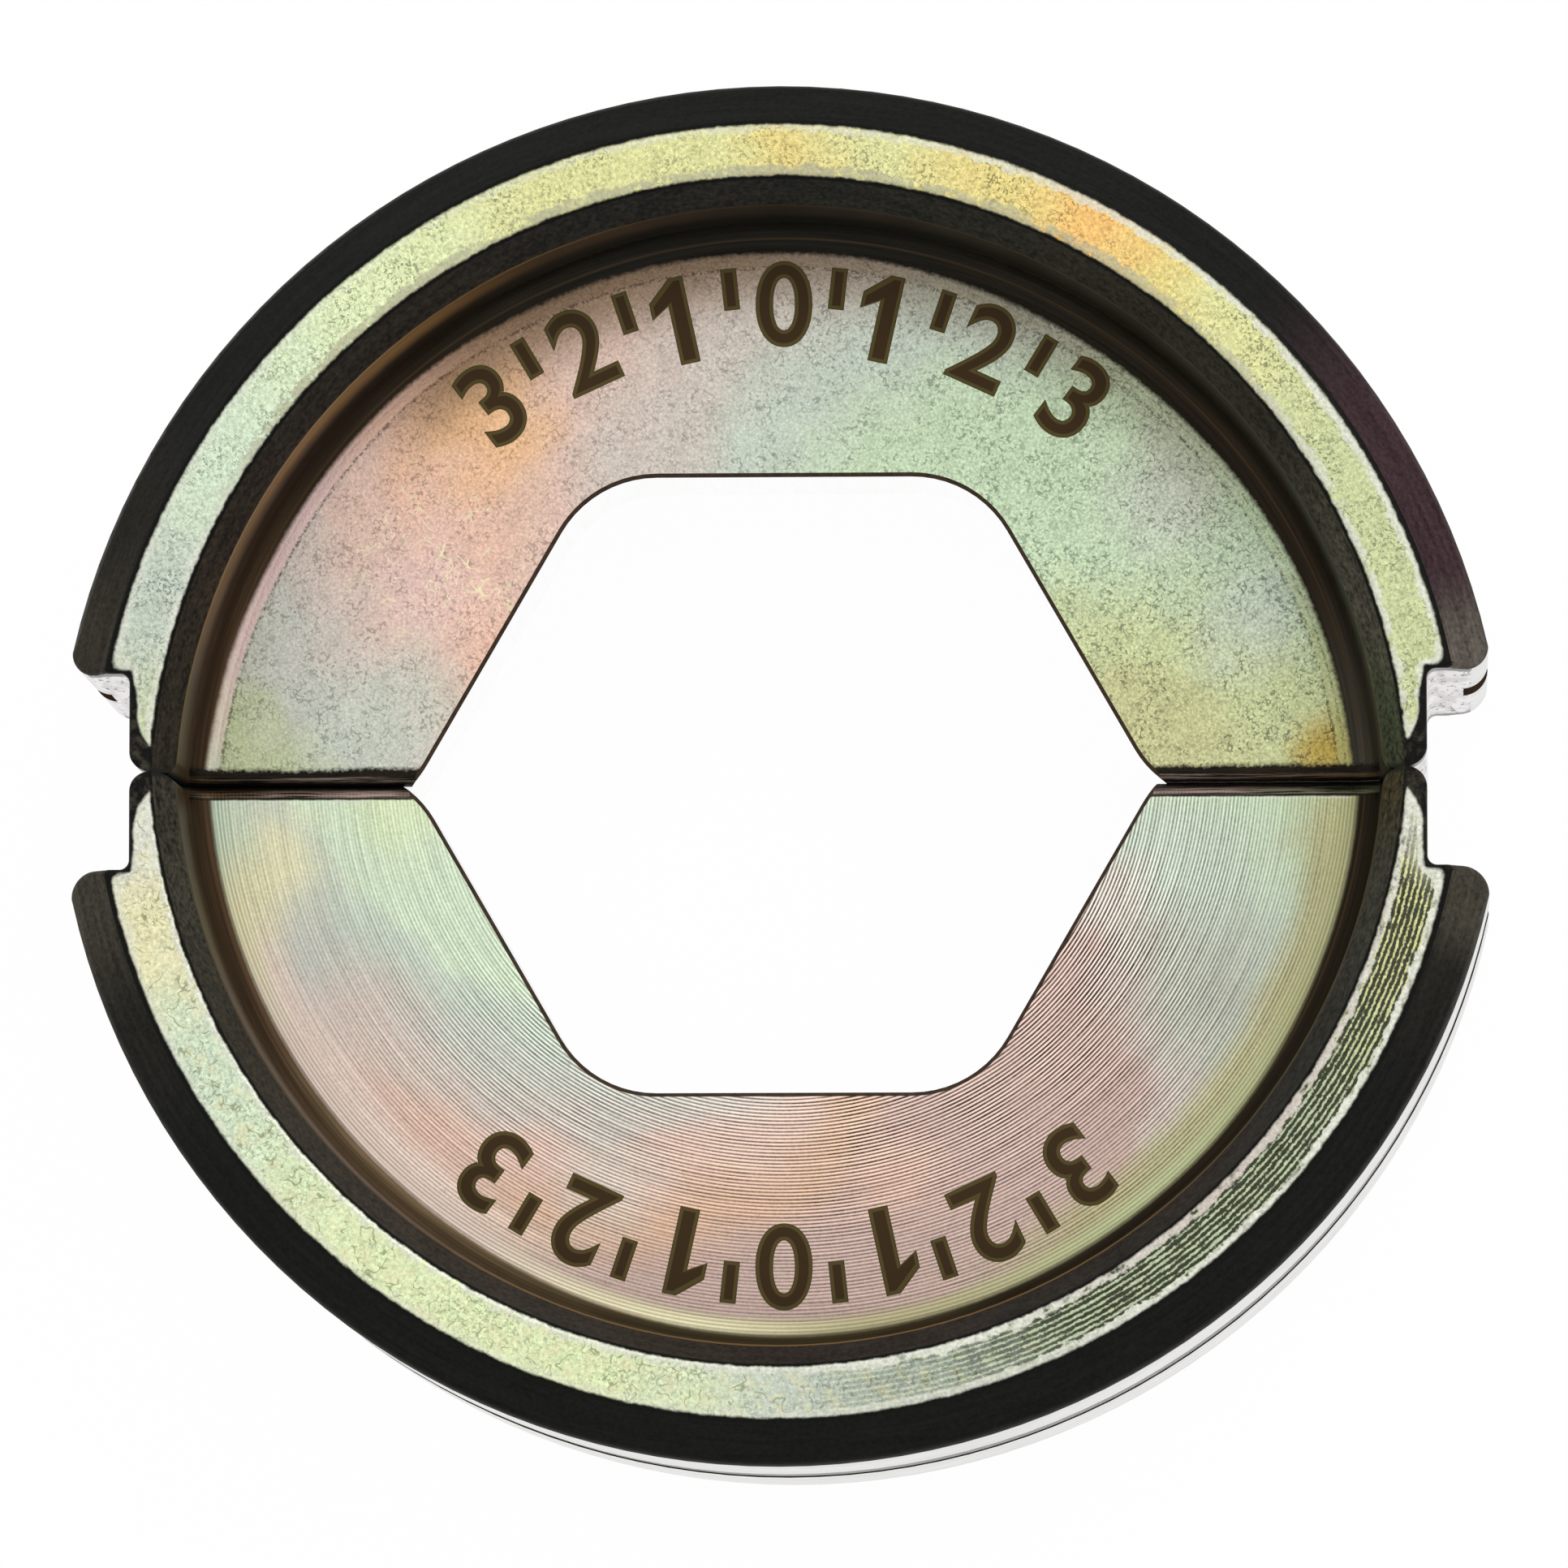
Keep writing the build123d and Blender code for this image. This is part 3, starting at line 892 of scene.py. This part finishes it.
def all_marks(thickening):
    """Every digit and tick of a scale, as its place in steps from the middle and its outline."""
    middle = (len(DIGITS) - 1) / 2
    marks = []
    for place, digit in enumerate(DIGITS):
        outline = one_outline(thickening) if digit == "1" else digit_outline(digit, thickening)
        marks.append((place - middle, outline))
    marks += [(place - middle + 0.5, tick_outline(thickening)) for place in range(len(DIGITS) - 1)]
    return marks


def make_scale(name, side):
    """The digits and ticks of one half, as one flat piece just proud of its web."""
    corners = []
    faces = []
    tones = []
    turn_half = 0.0 if side > 0 else pi
    for tone, (label, thickening, lift, tint) in enumerate(MARK_LAYERS):
        for place, (outline, outline_faces) in all_marks(thickening):
            turn = turn_half - place * DIGIT_STEP
            first = len(corners)
            for x, y, z in outline:
                out = y + DIGIT_RADIUS
                spot = (x * cos(turn) - out * sin(turn), x * sin(turn) + out * cos(turn), WEB_FRONT + lift)
                corners.append(tuple(value * MM for value in spot))
            faces += [tuple(first + index for index in face) for face in outline_faces]
            tones += [tone] * len(outline_faces)
    mesh = bpy.data.meshes.new(name)
    mesh.from_pydata(corners, [], faces)
    for label, thickening, lift, tint in MARK_LAYERS:
        mesh.materials.append(mark_finish(f"{name}_{label}", tint))
    for facet, tone in zip(mesh.polygons, tones):
        facet.material_index = tone
    scale = bpy.data.objects.new(name, mesh)
    bpy.context.scene.collection.objects.link(scale)
    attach(scale, "root")


make_scale("upper_scale", 1)
make_scale("lower_scale", -1)


# The floor, the light and the camera

def seen_directly(tree):
    """1 for the camera and for what metal or glass shows, 0 for light that spreads."""
    path = tree.nodes.new("ShaderNodeLightPath")
    seen = Number(tree, path.outputs["Is Camera Ray"]) + Number(tree, path.outputs["Is Glossy Ray"])
    return (seen + Number(tree, path.outputs["Is Transmission Ray"])).math("MINIMUM", 1.0)


def make_floor(white_share):
    """A pale floor under the dies, seen as white, with a faint soft shadow."""
    bpy.ops.mesh.primitive_plane_add(size=2.0, location=(0, 0, cad_box[0].z))
    floor = bpy.context.object
    floor.name = "floor"
    material = bpy.data.materials.new("floor_white")
    material.use_nodes = True
    tree = material.node_tree
    tree.nodes.clear()
    lit = tree.nodes.new("ShaderNodeBsdfDiffuse")
    lit.inputs["Color"].default_value = (0.95, 0.95, 0.95, 1.0)
    white = tree.nodes.new("ShaderNodeEmission")
    white.inputs["Strength"].default_value = 1.0
    blend = tree.nodes.new("ShaderNodeMixShader")
    plug(tree, seen_directly(tree) * white_share, blend.inputs["Fac"])
    tree.links.new(lit.outputs[0], blend.inputs[1])
    tree.links.new(white.outputs[0], blend.inputs[2])
    output = tree.nodes.new("ShaderNodeOutputMaterial")
    tree.links.new(blend.outputs[0], output.inputs["Surface"])
    floor.data.materials.append(material)


def make_world(level):
    """Even light from all round, seen as white by the camera and in reflections."""
    world = bpy.data.worlds.new("studio")
    bpy.context.scene.world = world
    world.use_nodes = True
    tree = world.node_tree
    background = tree.nodes["Background"]
    background.inputs["Color"].default_value = (1, 1, 1, 1)
    plug(tree, seen_directly(tree) * (1.0 - level) + level, background.inputs["Strength"])


def make_lamp(name, place, size, power):
    """A soft square lamp that looks at the middle of the dies."""
    data = bpy.data.lights.new(name, "AREA")
    data.size = size
    data.energy = power
    lamp = bpy.data.objects.new(name, data)
    lamp.location = place
    lamp.rotation_euler = (-Vector(place)).to_track_quat("-Z", "Y").to_euler()
    bpy.context.scene.collection.objects.link(lamp)


def make_camera(toward, distance, lens):
    """The photograph's view: almost straight down, from a little below and to the right."""
    toward = Vector(toward).normalized()
    aim = Vector((0, 0, WEB_FRONT * MM))
    data = bpy.data.cameras.new("camera")
    data.sensor_width = 36.0
    data.lens = lens
    data.clip_start = 0.01
    camera = bpy.data.objects.new("camera", data)
    camera.location = aim + toward * distance
    right = Vector((0, 1, 0)).cross(toward).normalized()
    up = toward.cross(right)
    turn = Matrix((right, up, toward)).transposed()
    camera.rotation_euler = turn.to_euler()
    bpy.context.scene.collection.objects.link(camera)
    bpy.context.scene.camera = camera


make_floor(white_share=0.98)
make_world(level=0.80)
make_lamp("key", place=(0.22, 0.30, 0.40), size=0.25, power=0.7)
make_camera(toward=(0.045, -0.095, 1.0), distance=0.45, lens=335.4)

bpy.context.scene.view_settings.view_transform = "Standard"
